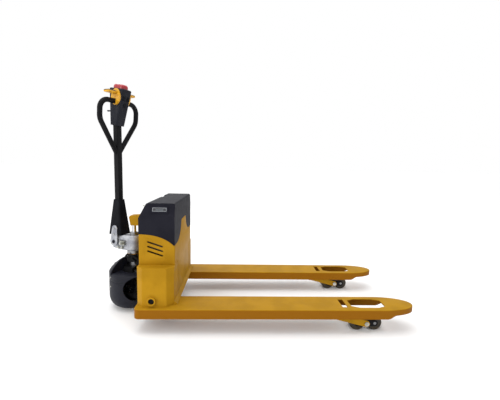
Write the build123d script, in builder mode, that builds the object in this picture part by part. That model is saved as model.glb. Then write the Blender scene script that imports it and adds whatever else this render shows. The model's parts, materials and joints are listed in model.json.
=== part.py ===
"""Electric pallet truck: two forks with tandem load rollers, a battery chassis, and a steered drive
unit with its tiller.

X runs from the drive end to the fork tips, Y to the left as the driver looks at the forks, Z up from
the floor. Lengths are in millimetres. The model stands at its ordinary travel height, with the tiller
upright and swung to the left.
"""

import os
from math import cos, radians, sin, sqrt

from build123d import *

os.makedirs("parts", exist_ok=True)

# ---------------------------------------------------------------- driving sizes
load_face_x = -355.5  # the load face of the chassis, so that the truck's box is centred on X = 0

fork_reach = 1150.0  # load face to fork tip
forks_overall = 685.0  # over both forks
fork_width = 160.0
fork_top = 120.0
skirt_depth = 45.0
plate = 5.0  # sheet steel of the forks and the chassis

lift_down = 35.0  # the travel height can drop and rise by these
lift_up = 80.0

running_gap = 0.05  # radial clearance of a pin or shaft
side_gap = 0.5  # between parts that turn side by side
body_gap = 1.0  # seams between covers

chassis_front = -184.0  # X from the load face
chassis_back = -15.0
shoulder_inset = 29.5  # fork's outer side to shoulder's outer side
shoulder_top = 305.0
box_inset = 80.5  # fork's outer side to battery box's side
hood_crease = 541.0
hood_top = 598.0
hood_bevel = 17.0

steer_axis = -284.0  # X from the load face
steer_rest = -26.0  # degrees about +Z
tiller_offset = 104.0  # steering axis to the tiller's hinge
tiller_hinge_z = 350.0
drive_wheel_radius = 105.0
drive_wheel_width = 70.0

roller_radius = 37.0
roller_width = 70.0
tandem_pitch = 84.0
arm_reach = 165.0
arm_setback = 400.0  # fork tip to the roller arm's pivot
arm_drop = 42.0  # fork top to the roller arm's pivot
arm_lever = 28.5
arm_turn = 0.00672  # radians that a roller arm turns for each millimetre of lift
crank_lever = 45.0
crank_turn = arm_turn * arm_lever / crank_lever
crank_x = -113.0  # X from the load face
crank_rise = 30.0  # fork top to the bell crank's shaft
collar_pin_z = 276.0

# ---------------------------------------------------------------- derived places
half_overall = forks_overall / 2
fork_y = half_overall - fork_width / 2
fork_inner_y = half_overall - fork_width
skirt_z = fork_top - skirt_depth
shoulder_y = half_overall - shoulder_inset
box_y = half_overall - box_inset
crank_z = fork_top + crank_rise
arm_x = fork_reach - arm_setback
arm_z = fork_top - arm_drop
bogie_x = arm_x + sqrt(arm_reach**2 - (arm_z - roller_radius) ** 2)
bogie_z = roller_radius
hands = (("left", 1), ("right", -1))

# Sketch planes of the truck: from above, from the right side, and from the drive end.
top_view = Plane(origin=(load_face_x, 0, 0))
side_view = Plane(origin=(load_face_x, 0, 0), x_dir=(1, 0, 0), z_dir=(0, -1, 0))
end_view = Plane(origin=(load_face_x, 0, 0), x_dir=(0, 1, 0), z_dir=(1, 0, 0))

# The same three for everything that steers, with their origin on the steering axis.
turn = radians(steer_rest)
steer_origin = (load_face_x + steer_axis, 0, 0)
steer_top = Plane(origin=steer_origin, x_dir=(cos(turn), sin(turn), 0), z_dir=(0, 0, 1))
steer_side = Plane(origin=steer_origin, x_dir=(cos(turn), sin(turn), 0), z_dir=(sin(turn), -cos(turn), 0))
steer_end = Plane(origin=steer_origin, x_dir=(-sin(turn), cos(turn), 0), z_dir=(cos(turn), sin(turn), 0))

# ---------------------------------------------------------------- forks
# Each fork is an inverted channel of bent plate with a rounded nose. Lugs inside carry the roller arm.
nose_length = 165.0
nose_x = fork_reach - nose_length
heel_x = -192.0
heel_radius = 28.0
nose_step_start = nose_x + 12.0
nose_step_end = nose_x + 62.0
nose_depth = 28.0
edge_round = 4.0
slot_x = (arm_x + 40.0, arm_x + 65.0)
slot_width = 90.0
window_x = (bogie_x - 74.0, bogie_x + 92.0)
window_width = 100.0
window_corner = (37.0, 17.0)
lug_inner = 53.0
lug_thick = 6.0
lug_half = 15.0
arm_pin_radius = 6.0
lug_bottom = arm_z - arm_pin_radius - 6.0
lever_hole_half = 20.0
lever_hole_x = (crank_x - 40.0, crank_x + 30.0)
shank = fork_width / 2 - plate

for name, hand in hands:
    over = Plane(origin=(load_face_x, hand * fork_y, 0))
    along = Plane(origin=(load_face_x, hand * fork_y, 0), x_dir=(1, 0, 0), z_dir=(0, -1, 0))
    with BuildPart() as fork:
        with BuildSketch(over.offset(skirt_z)):
            with Locations(((heel_x + nose_x) / 2, 0)):
                Rectangle(nose_x - heel_x, fork_width)
            fillet(vertices().group_by(Axis.X)[0], heel_radius)
            with Locations((nose_x, 0)):
                Ellipse(nose_length, fork_width / 2)
        extrude(amount=skirt_depth)
        fillet(faces().sort_by(Axis.Z)[-1].edges(), edge_round)
        with BuildSketch(over.offset(skirt_z)):
            with Locations(((heel_x + plate + nose_x) / 2, 0)):
                Rectangle(nose_x - heel_x - plate, fork_width - 2 * plate)
            fillet(vertices().group_by(Axis.X)[0], heel_radius - plate)
            with Locations((nose_x, 0)):
                Ellipse(nose_length - plate, shank)
        extrude(amount=skirt_depth - plate, mode=Mode.SUBTRACT)
        # The skirt steps up towards the nose in an S curve.
        with BuildSketch(along):
            with BuildLine():
                step = Spline(
                    (nose_step_start, skirt_z),
                    (nose_step_end, fork_top - nose_depth),
                    tangents=((1, 0), (1, 0)),
                )
                Polyline(
                    step @ 1,
                    (fork_reach + 1, fork_top - nose_depth),
                    (fork_reach + 1, skirt_z - 1),
                    (nose_step_start, skirt_z - 1),
                    step @ 0,
                )
            make_face()
        extrude(amount=fork_width, both=True, mode=Mode.SUBTRACT)
        # A slot over the arm's lever, a window over the rollers, and a hole for the crank's lever.
        with BuildSketch(over.offset(fork_top + 1)):
            with Locations((sum(slot_x) / 2, 0)):
                RectangleRounded(slot_x[1] - slot_x[0], slot_width, 4)
            with Locations((sum(lever_hole_x) / 2, 0)):
                Rectangle(lever_hole_x[1] - lever_hole_x[0], 2 * lever_hole_half)
            with BuildLine():
                Polyline(
                    (window_x[0], window_width / 2 - window_corner[1]),
                    (window_x[0] + window_corner[0], window_width / 2),
                    (window_x[1] - window_corner[0], window_width / 2),
                    (window_x[1], window_width / 2 - window_corner[1]),
                    (window_x[1], window_corner[1] - window_width / 2),
                    (window_x[1] - window_corner[0], -window_width / 2),
                    (window_x[0] + window_corner[0], -window_width / 2),
                    (window_x[0], window_corner[1] - window_width / 2),
                    close=True,
                )
            make_face()
        extrude(amount=-plate - 2, mode=Mode.SUBTRACT)
        for lug in (-1, 1):
            with BuildSketch(along.offset(lug * (lug_inner + lug_thick / 2))):
                with Locations((arm_x, (lug_bottom + fork_top - plate + 0.5) / 2)):
                    Rectangle(2 * lug_half, fork_top - plate + 0.5 - lug_bottom)
                fillet(vertices().group_by(Axis.Y)[0], 6)
            extrude(amount=lug_thick / 2, both=True)
            with BuildSketch(along.offset(lug * (lug_inner + lug_thick / 2))):
                with Locations((arm_x, arm_z)):
                    Circle(arm_pin_radius + running_gap)
            extrude(amount=lug_thick, both=True, mode=Mode.SUBTRACT)
    fork.part.label = f"{name}_fork"
    export_step(fork.part, f"parts/{name}_fork.step")

# The two pins that the roller arms hang on.
with BuildPart() as arm_pivot_pins:
    for name, hand in hands:
        with BuildSketch(side_view.offset(-hand * fork_y)):
            with Locations((arm_x, arm_z)):
                Circle(arm_pin_radius)
        extrude(amount=lug_inner + lug_thick, both=True)
        for end in (-1, 1):
            with BuildSketch(side_view.offset(-hand * fork_y + end * (lug_inner + lug_thick + 1.5))):
                with Locations((arm_x, arm_z)):
                    Circle(arm_pin_radius + 3)
            extrude(amount=1.5, both=True)
arm_pivot_pins.part.label = "arm_pivot_pins"
export_step(arm_pivot_pins.part, "parts/arm_pivot_pins.step")

# ---------------------------------------------------------------- shoulders
# Welded boxes on the forks, chamfered outside, with a boss for the bell crank's shaft.
shoulder_front = chassis_front - 3.0
shoulder_cut = 30.0
boss_radius = 20.0
boss_reach = 13.0
shaft_radius = 14.0
inner_wall_y = fork_inner_y + 0.5

for name, hand in hands:
    with BuildPart() as shoulder:
        with BuildSketch(top_view.offset(fork_top)):
            with BuildLine():
                Polyline(
                    (shoulder_front, hand * inner_wall_y),
                    (shoulder_front, hand * (shoulder_y - shoulder_cut)),
                    (shoulder_front + shoulder_cut, hand * shoulder_y),
                    (chassis_back - shoulder_cut, hand * shoulder_y),
                    (chassis_back, hand * (shoulder_y - shoulder_cut)),
                    (chassis_back, hand * inner_wall_y),
                    close=True,
                )
            outline = make_face()
        extrude(amount=shoulder_top - fork_top)
        fillet(edges().filter_by(Axis.Z), 4)
        fillet(faces().sort_by(Axis.Z)[-1].edges(), 3)
        with BuildSketch(top_view.offset(fork_top)):
            add(outline)
            offset(amount=-plate, kind=Kind.INTERSECTION)
        extrude(amount=shoulder_top - fork_top - plate, mode=Mode.SUBTRACT)
        with BuildSketch(side_view.offset(-hand * (shoulder_y - 1))):
            with Locations((crank_x, crank_z)):
                Circle(boss_radius)
        extrude(amount=-hand * (boss_reach + 1))
        with BuildSketch(side_view.offset(-hand * (inner_wall_y - 1))):
            with Locations((crank_x, crank_z)):
                Circle(shaft_radius + running_gap)
        extrude(amount=-hand * (shoulder_y + boss_reach + 2 - inner_wall_y), mode=Mode.SUBTRACT)
    shoulder.part.label = f"{name}_shoulder"
    export_step(shoulder.part, f"parts/{name}_shoulder.step")

# ---------------------------------------------------------------- battery box and load face
# An open steel box across the shoulders. Its back plate is the load face, and rises in a bell between
# the hood's corners. Three slanted louvres cool each side.
box_floor = shoulder_top
load_plate_bottom = 80.0
bell_flat = 399.0
seam = (
    (chassis_front, 452.0),
    (chassis_front + 60.0, 448.0),
    (chassis_back - 56.0, 433.0),
    (chassis_back - plate, bell_flat),
)
bell_top = 493.0
bell_foot = 62.0  # box side to where the bell starts to rise
bell_neck = 72.0
louvre_length = 78.0
louvre_width = 8.0
louvre_pitch = 22.0
louvre_tilt = -18.6
louvre_x = -107.0
louvre_z = 405.0

with BuildPart() as battery_box:
    with BuildSketch(top_view.offset(box_floor)):
        with Locations(((chassis_front + chassis_back) / 2, 0)):
            Rectangle(chassis_back - chassis_front, 2 * box_y)
    extrude(amount=bell_top + 1 - box_floor)
    fillet(edges().filter_by(Axis.Z), 5)
    with BuildSketch(top_view.offset(box_floor + plate)):
        with Locations(((chassis_front + chassis_back) / 2, 0)):
            Rectangle(chassis_back - chassis_front - 2 * plate, 2 * (box_y - plate))
    extrude(amount=bell_top + 2 - box_floor, mode=Mode.SUBTRACT)
    # The seam with the hood, along the front and sides.
    with BuildSketch(side_view):
        with BuildLine():
            edge = Spline(*seam)
            Polyline(
                edge @ 1,
                (chassis_back - plate, bell_top + 2),
                (chassis_front - 1, bell_top + 2),
                (chassis_front - 1, seam[0][1]),
                edge @ 0,
            )
        make_face()
    extrude(amount=box_y + 1, both=True, mode=Mode.SUBTRACT)
    # The bell on the back plate.
    with BuildSketch(end_view.offset(chassis_back - plate - 2)):
        for hand in (-1, 1):
            with BuildLine():
                rise = Spline(
                    (hand * (box_y - bell_foot), bell_flat),
                    (hand * (bell_neck + 68), bell_flat + 12),
                    (hand * (bell_neck + 26), bell_flat + 38),
                    (hand * bell_neck, bell_top - 12),
                    tangents=((-hand, 0), (-hand * 0.25, 1)),
                )
                Polyline(
                    rise @ 1,
                    (hand * (bell_neck - 8), bell_top),
                    (0, bell_top),
                    (0, bell_top + 2),
                    (hand * (box_y + 1), bell_top + 2),
                    (hand * (box_y + 1), bell_flat),
                    rise @ 0,
                )
            make_face()
    extrude(amount=plate + 3, mode=Mode.SUBTRACT)
    # The back plate runs down between the shoulders.
    with BuildSketch(end_view.offset(chassis_back - plate)):
        with Locations((0, (load_plate_bottom + box_floor + plate) / 2)):
            Rectangle(2 * (fork_inner_y - side_gap), box_floor + plate - load_plate_bottom)
    extrude(amount=plate)
    for row in range(3):
        with BuildSketch(side_view):
            with Locations((louvre_x, louvre_z - row * louvre_pitch)):
                SlotOverall(louvre_length, louvre_width, rotation=louvre_tilt)
        extrude(amount=box_y + 1, both=True, mode=Mode.SUBTRACT)
battery_box.part.label = "battery_box"
export_step(battery_box.part, "parts/battery_box.step")

# A bevelled strip along the foot of the load face, where the load stops.
ledge_height = 17.0
ledge_lip = 4.0
with BuildPart() as load_ledge:
    with BuildSketch(side_view):
        with BuildLine():
            Polyline(
                (chassis_back, fork_top),
                (0, fork_top),
                (0, fork_top + ledge_lip),
                (chassis_back, fork_top + ledge_height),
                close=True,
            )
        make_face()
    extrude(amount=shoulder_y - shoulder_cut, both=True)
load_ledge.part.label = "load_ledge"
export_step(load_ledge.part, "parts/load_ledge.step")

# ---------------------------------------------------------------- lift bracket and piston rod
# The chassis hangs on the drive unit's ram: a cap over the rod, a post behind it, and a foot back to
# the battery box.
cap_front = steer_axis - 19.0
cap_bottom = 447.0
cap_top = 504.0
cap_half = 26.0
post_front = steer_axis + 40.0
post_thick = 12.0
post_half = 32.0
post_foot = 332.0
rod_radius = 12.0
rod_bottom = 278.0
rod_socket = 30.0

with BuildPart() as lift_bracket:
    with BuildSketch(side_view):
        with BuildLine():
            Polyline(
                (cap_front + 8, cap_bottom),
                (chassis_front, cap_bottom),
                (chassis_front, cap_top - 8),
                (post_front + post_thick, cap_top),
                (cap_front + 6, cap_top - 4),
                (cap_front, cap_top - 12),
                close=True,
            )
        make_face()
    extrude(amount=cap_half, both=True)
    fillet(edges().filter_by(Axis.Y), 3)
    with BuildSketch(side_view):
        with Locations((post_front + post_thick / 2, (post_foot + cap_bottom + 4) / 2)):
            Rectangle(post_thick, cap_bottom + 4 - post_foot)
        with Locations(((post_front + chassis_front) / 2, post_foot + 4)):
            Rectangle(chassis_front - post_front, 8)
    extrude(amount=post_half, both=True)
    with BuildSketch(steer_top.offset(cap_bottom - 1)):
        Circle(rod_radius + running_gap)
    extrude(amount=rod_socket + 1, mode=Mode.SUBTRACT)
lift_bracket.part.label = "lift_bracket"
export_step(lift_bracket.part, "parts/lift_bracket.step")

with BuildPart() as piston_rod:
    with BuildSketch(steer_top.offset(rod_bottom)):
        Circle(rod_radius)
    extrude(amount=cap_bottom + rod_socket - rod_bottom)
    chamfer(edges().group_by(Axis.Z)[0], 1)
piston_rod.part.label = "piston_rod"
export_step(piston_rod.part, "parts/piston_rod.step")

# ---------------------------------------------------------------- hood
# A moulded cover over the battery. Its sides lean in above a crease and its driver's side slopes back.
hood_wall = 4.0
slope_foot_z = 528.0
slope_run = 34.0
slope_top_x = chassis_front + slope_run
grip_y = (40.0, 150.0)
grip_depth = 9.0

hood_blocks = []
for inset in (0.0, hood_wall):
    with BuildPart() as hood_block:
        with BuildSketch(side_view):
            with BuildLine():
                Polyline(
                    (chassis_front + inset, bell_flat - 20 - inset),
                    (chassis_front + inset, slope_foot_z - inset * 0.6),
                    (slope_top_x + inset * 0.6, hood_top - inset),
                    (chassis_back - inset, hood_top - inset),
                    (chassis_back - inset, bell_flat - 20 - inset),
                    close=True,
                )
            make_face()
            fillet(vertices().sort_by(Axis.Y)[-2:], 9)
        extrude(amount=box_y - inset, both=True)
        with BuildSketch(end_view.offset(chassis_front - 1)):
            for hand in (-1, 1):
                with BuildLine():
                    Polyline(
                        (hand * (box_y - inset), hood_crease),
                        (hand * (box_y - inset - hood_bevel), hood_top - inset),
                        (hand * (box_y - inset - hood_bevel), hood_top + 2),
                        (hand * (box_y + 2), hood_top + 2),
                        (hand * (box_y + 2), hood_crease),
                        close=True,
                    )
                make_face()
        extrude(amount=chassis_back - chassis_front + 2, mode=Mode.SUBTRACT)
    hood_blocks.append(hood_block.part)

with BuildPart() as hood:
    add(hood_blocks[0])
    add(hood_blocks[1], mode=Mode.SUBTRACT)
    # Everything below the seam and the bell is the steel box.
    with BuildSketch(side_view):
        with BuildLine():
            edge = Spline(*[(x, z + body_gap) for x, z in seam])
            Polyline(
                edge @ 1,
                (chassis_back - plate, bell_flat - 40),
                (chassis_front - 1, bell_flat - 40),
                (chassis_front - 1, seam[0][1] + body_gap),
                edge @ 0,
            )
        make_face()
    extrude(amount=box_y + 1, both=True, mode=Mode.SUBTRACT)
    with BuildSketch(end_view.offset(chassis_back - plate)):
        for hand in (-1, 1):
            with BuildLine():
                rise = Spline(
                    (hand * (box_y - bell_foot), bell_flat + body_gap),
                    (hand * (bell_neck + 68), bell_flat + 12 + body_gap),
                    (hand * (bell_neck + 26 + body_gap), bell_flat + 38 + body_gap),
                    (hand * (bell_neck + body_gap), bell_top - 12),
                    tangents=((-hand, 0), (-hand * 0.25, 1)),
                )
                Polyline(
                    rise @ 1,
                    (hand * (bell_neck - 8 + body_gap), bell_top + body_gap),
                    (0, bell_top + body_gap),
                    (0, bell_flat - 40),
                    (hand * (box_y + 1), bell_flat - 40),
                    (hand * (box_y + 1), bell_flat + body_gap),
                    rise @ 0,
                )
            make_face()
    extrude(amount=plate + 1, mode=Mode.SUBTRACT)
    # A finger scoop in the driver's top edge.
    with BuildSketch(side_view.offset(-grip_y[1])):
        with Locations((slope_top_x, hood_top + 6)):
            Circle(grip_depth + 6)
    extrude(amount=grip_y[1] - grip_y[0], mode=Mode.SUBTRACT)
hood.part.label = "hood"
export_step(hood.part, "parts/hood.step")

# Two screws on each side hold the hood down.
hood_screw_x = (chassis_front + 22.0, chassis_back - 22.0)
hood_screw_z = hood_crease - 12.0
hood_screw_radius = 4.5
hood_screw_head = 2.5
with BuildPart() as hood_screws:
    for hand in (-1, 1):
        with BuildSketch(side_view.offset(-hand * box_y)):
            for x in hood_screw_x:
                with Locations((x, hood_screw_z)):
                    Circle(hood_screw_radius)
        extrude(amount=-hand * hood_screw_head)
hood_screws.part.label = "hood_screws"
export_step(hood_screws.part, "parts/hood_screws.step")

# The battery gauge stands on the right bevel, with its window flush in the frame.
gauge_width = 84.0
gauge_height = 36.0
gauge_thick = 3.0
window_margin = 8.0
window_sink = 1.0
bevel_rise = hood_top - hood_crease
bevel_slope = sqrt(hood_bevel**2 + bevel_rise**2)
gauge_plane = Plane(
    origin=(
        load_face_x + (slope_top_x + chassis_back) / 2 - 4,
        -box_y + hood_bevel / 2,
        (hood_crease + hood_top) / 2,
    ),
    x_dir=(1, 0, 0),
    z_dir=(0, -bevel_rise / bevel_slope, hood_bevel / bevel_slope),
)
with BuildPart() as gauge_frame:
    with BuildSketch(gauge_plane):
        RectangleRounded(gauge_width, gauge_height, 5)
    extrude(amount=gauge_thick)
    with BuildSketch(gauge_plane):
        RectangleRounded(gauge_width - 2 * window_margin, gauge_height - 2 * window_margin, 2)
    extrude(amount=gauge_thick, mode=Mode.SUBTRACT)
gauge_frame.part.label = "gauge_frame"
export_step(gauge_frame.part, "parts/gauge_frame.step")

with BuildPart() as gauge_window:
    with BuildSketch(gauge_plane):
        RectangleRounded(gauge_width - 2 * window_margin, gauge_height - 2 * window_margin, 2)
    extrude(amount=gauge_thick - window_sink)
gauge_window.part.label = "gauge_window"
export_step(gauge_window.part, "parts/gauge_window.step")

# The key switch is on the driver's slope of the hood.
slope_rise = hood_top - slope_foot_z
slope_long = sqrt(slope_rise**2 + slope_run**2)
key_y = -150.0
key_plane = Plane(
    origin=(
        load_face_x + chassis_front + slope_run / 2,
        key_y,
        slope_foot_z + slope_rise / 2,
    ),
    x_dir=(0, 1, 0),
    z_dir=(-slope_rise / slope_long, 0, slope_run / slope_long),
)
switch_radius = 15.0
switch_height = 7.0
key_shank = (1.6, 5.0)
with BuildPart() as key_switch:
    with BuildSketch(key_plane):
        Circle(switch_radius)
    extrude(amount=switch_height)
    fillet(edges().group_by(SortBy.DISTANCE)[-1], 1)
    with BuildSketch(key_plane.offset(switch_height)):
        Circle(key_shank[1] + 0.3)
    extrude(amount=-switch_height + 1, mode=Mode.SUBTRACT)
key_switch.part.label = "key_switch"
export_step(key_switch.part, "parts/key_switch.step")

key_bow = 20.0
with BuildPart() as ignition_key:
    with BuildSketch(key_plane.offset(1.5)):
        Circle(key_shank[1])
    extrude(amount=switch_height - 1)
    with BuildSketch(key_plane.offset(switch_height)):
        RectangleRounded(key_bow, 2 * key_shank[0], 1)
    extrude(amount=key_bow)
ignition_key.part.label = "ignition_key"
export_step(ignition_key.part, "parts/ignition_key.step")

# The battery with its lifting handle, and the motor controller, lie inside the box.
battery_size = (118.0, 300.0, 190.0)
battery_y = -70.0
controller_size = (110.0, 120.0, 70.0)
controller_y = 175.0
chassis_mid = (chassis_front + chassis_back) / 2
with BuildPart() as battery:
    with BuildSketch(top_view.offset(box_floor + plate)):
        with Locations((chassis_mid, battery_y)):
            Rectangle(battery_size[0], battery_size[1])
    extrude(amount=battery_size[2])
    chamfer(edges().filter_by(Axis.Z), 4)
    with BuildSketch(end_view.offset(chassis_mid)):
        with Locations((battery_y, box_floor + plate + battery_size[2] - 1)):
            Rectangle(130, 66, align=(Align.CENTER, Align.MIN))
            Rectangle(106, 54, align=(Align.CENTER, Align.MIN), mode=Mode.SUBTRACT)
    extrude(amount=9, both=True)
battery.part.label = "battery"
export_step(battery.part, "parts/battery.step")

with BuildPart() as controller:
    with BuildSketch(top_view.offset(box_floor + plate)):
        with Locations((chassis_mid, controller_y)):
            Rectangle(controller_size[0], controller_size[1])
    extrude(amount=18)
    with BuildSketch(top_view.offset(box_floor + plate + 17)):
        for fin in range(9):
            with Locations((chassis_mid - 48 + 12 * fin, controller_y)):
                Rectangle(5, controller_size[1] - 8)
    extrude(amount=controller_size[2] - 17)
controller.part.label = "controller"
export_step(controller.part, "parts/controller.step")

# ---------------------------------------------------------------- thrust collar
# The collar carries the drive unit's column. It neither steers nor lifts, and its two pins drive the
# bell crank as the chassis rises.
column_radius = 27.0
collar_radius = 40.0
collar_bottom = collar_pin_z - 28.0
collar_top = collar_pin_z + 14.0
collar_pin_radius = 5.0
crank_plate_in = 42.0
crank_plate = 6.0
washer_thick = 4.0

with BuildPart() as thrust_collar:
    with BuildSketch(steer_top.offset(collar_bottom)):
        Circle(collar_radius)
        Circle(column_radius + running_gap, mode=Mode.SUBTRACT)
    extrude(amount=collar_top - collar_bottom)
    chamfer(edges().group_by(Axis.Z)[0], 1.5)
    for hand in (-1, 1):
        with BuildSketch(side_view.offset(hand * (collar_radius - 2))):
            with Locations((steer_axis, collar_pin_z)):
                Circle(collar_pin_radius)
        extrude(amount=hand * (crank_plate_in + crank_plate + 3 - collar_radius + 2))
thrust_collar.part.label = "thrust_collar"
export_step(thrust_collar.part, "parts/thrust_collar.step")

with BuildPart() as thrust_washer:
    with BuildSketch(steer_top.offset(collar_top)):
        Circle(collar_radius - 2)
        Circle(column_radius + running_gap, mode=Mode.SUBTRACT)
    extrude(amount=washer_thick)
thrust_washer.part.label = "thrust_washer"
export_step(thrust_washer.part, "parts/thrust_washer.step")

# ---------------------------------------------------------------- bell crank
# A shaft across the chassis with two slotted arms to the collar and a forked lever inside each fork.
# Each arm's slot follows the collar's pin as the shaft turns by crank_turn for each millimetre of lift.
cam_gap = 0.4
cam_wall = 7.0
arm_bar = 26.0
knee = (crank_x - 15.0, crank_z + 110.0)
crank_lean = -5.5
lever_plate = 6.0
eye_half = 5.5
rod_pin_radius = 4.0
rod_pin_x = crank_x + crank_lever * sin(radians(crank_lean))
rod_pin_z = crank_z - crank_lever * cos(radians(crank_lean))
cam_points = []
for step in range(7):
    lift = -lift_down - 2 + step * (lift_down + lift_up + 4) / 6
    angle = -crank_turn * lift
    reach_x = steer_axis - crank_x
    reach_z = collar_pin_z - crank_z - lift
    cam_points.append(
        (
            crank_x + reach_x * cos(angle) - reach_z * sin(angle),
            crank_z + reach_x * sin(angle) + reach_z * cos(angle),
        )
    )
cam_width = 2 * (collar_pin_radius + cam_gap)

with BuildPart() as bell_crank:
    with BuildSketch(side_view):
        with Locations((crank_x, crank_z)):
            Circle(shaft_radius)
    extrude(amount=shoulder_y + 5, both=True)
    for hand in (-1, 1):
        with BuildSketch(side_view.offset(hand * crank_plate_in)):
            with BuildLine() as cam_line:
                Spline(*cam_points)
            trace(line_width=cam_width + 2 * cam_wall)
            with Locations(cam_points[0], cam_points[-1]):
                Circle(cam_width / 2 + cam_wall)
            for start, end in ((cam_points[-1], knee), (knee, (crank_x, crank_z))):
                with BuildLine():
                    Line(start, end)
                trace(line_width=arm_bar)
            with Locations(knee, (crank_x, crank_z)):
                Circle(arm_bar / 2)
            with Locations((crank_x, crank_z)):
                Circle(shaft_radius + 8)
        extrude(amount=hand * crank_plate)
        with BuildSketch(side_view.offset(hand * crank_plate_in)):
            with BuildLine() as cam_line:
                Spline(*cam_points)
            trace(line_width=cam_width)
            with Locations(cam_points[0], cam_points[-1]):
                Circle(cam_width / 2)
        extrude(amount=hand * crank_plate, mode=Mode.SUBTRACT)
        for cheek in (-1, 1):
            cheek_mid = hand * fork_y + cheek * (eye_half + side_gap + lever_plate / 2)
            with BuildSketch(side_view.offset(-cheek_mid)):
                with BuildLine():
                    Line((crank_x, crank_z), (rod_pin_x, rod_pin_z))
                trace(line_width=2 * rod_pin_radius + 9)
                with Locations((rod_pin_x, rod_pin_z)):
                    Circle(rod_pin_radius + 4.5)
                with Locations((crank_x, crank_z)):
                    Circle(shaft_radius + 6)
            extrude(amount=lever_plate / 2, both=True)
            with BuildSketch(side_view.offset(-cheek_mid)):
                with Locations((rod_pin_x, rod_pin_z)):
                    Circle(rod_pin_radius + running_gap)
            extrude(amount=lever_plate, both=True, mode=Mode.SUBTRACT)
bell_crank.part.label = "bell_crank"
export_step(bell_crank.part, "parts/bell_crank.step")

rod_pin_half = eye_half + side_gap + lever_plate
with BuildPart() as crank_pins:
    for hand in (-1, 1):
        with BuildSketch(side_view.offset(hand * fork_y)):
            with Locations((rod_pin_x, rod_pin_z)):
                Circle(rod_pin_radius)
        extrude(amount=rod_pin_half, both=True)
crank_pins.part.label = "crank_pins"
export_step(crank_pins.part, "parts/crank_pins.step")

# ---------------------------------------------------------------- push rods
# A round bar in each fork with a flat eye at each end. The front eye is slotted, so that the rod stays
# level while its two pins move on arcs.
arm_lean = -8.7
lever_pin_radius = 3.0
lever_pin_x = arm_x + arm_lever * sin(radians(arm_lean))
lever_pin_z = arm_z + arm_lever * cos(radians(arm_lean))
bar_radius = 6.0
bar_z = rod_pin_z + 1.0
eye_slot_gap = 0.35
eye_slot_rise = 2.0
eye_wall = 2.2
eye_width = 9.0
eye_slot_z = lever_pin_z - 1.2

for name, hand in hands:
    with BuildPart() as push_rod:
        with BuildSketch(end_view.offset(rod_pin_x + rod_pin_radius + 8)):
            with Locations((hand * fork_y, bar_z)):
                Circle(bar_radius)
        extrude(amount=lever_pin_x - rod_pin_x - rod_pin_radius - lever_pin_radius - 16)
        with BuildSketch(side_view.offset(-hand * fork_y)):
            with Locations((rod_pin_x, rod_pin_z)):
                Circle(rod_pin_radius + 4)
            with Locations((rod_pin_x + 12, bar_z)):
                Rectangle(24, 2 * bar_radius)
            with Locations((lever_pin_x, eye_slot_z)):
                Rectangle(2 * lever_pin_radius + eye_width, 2 * (lever_pin_radius + eye_slot_rise + eye_wall))
            with Locations((lever_pin_x - 14, bar_z)):
                Rectangle(24, 2 * bar_radius)
        extrude(amount=eye_half, both=True)
        with BuildSketch(side_view.offset(-hand * fork_y)):
            with Locations((rod_pin_x, rod_pin_z)):
                Circle(rod_pin_radius + running_gap)
            with Locations((lever_pin_x, eye_slot_z)):
                Rectangle(2 * (lever_pin_radius + eye_slot_gap), 2 * (lever_pin_radius + eye_slot_rise))
        extrude(amount=eye_half + 1, both=True, mode=Mode.SUBTRACT)
    push_rod.part.label = f"{name}_push_rod"
    export_step(push_rod.part, f"parts/{name}_push_rod.step")

# ---------------------------------------------------------------- roller arms and tandem rollers
# Each arm is two plates on a sleeve, with a forked lever above the sleeve. Shoulder bolts at its end
# carry the bogie, whose two plates hold the axles of the rollers.
arm_plate = 6.0
bogie_plate = 6.0
bogie_in = roller_width / 2 + 1.5
arm_in = bogie_in + bogie_plate + 1.0
sleeve_radius = 12.0
arm_end = 15.0
arm_root = 17.0
bogie_bolt_radius = 8.0
bogie_head_radius = 12.0
bogie_head = 4.0
axle_radius = 7.0
axle_stub = 0.4
roller_bore = axle_radius + running_gap
bogie_height = 30.0

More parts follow.
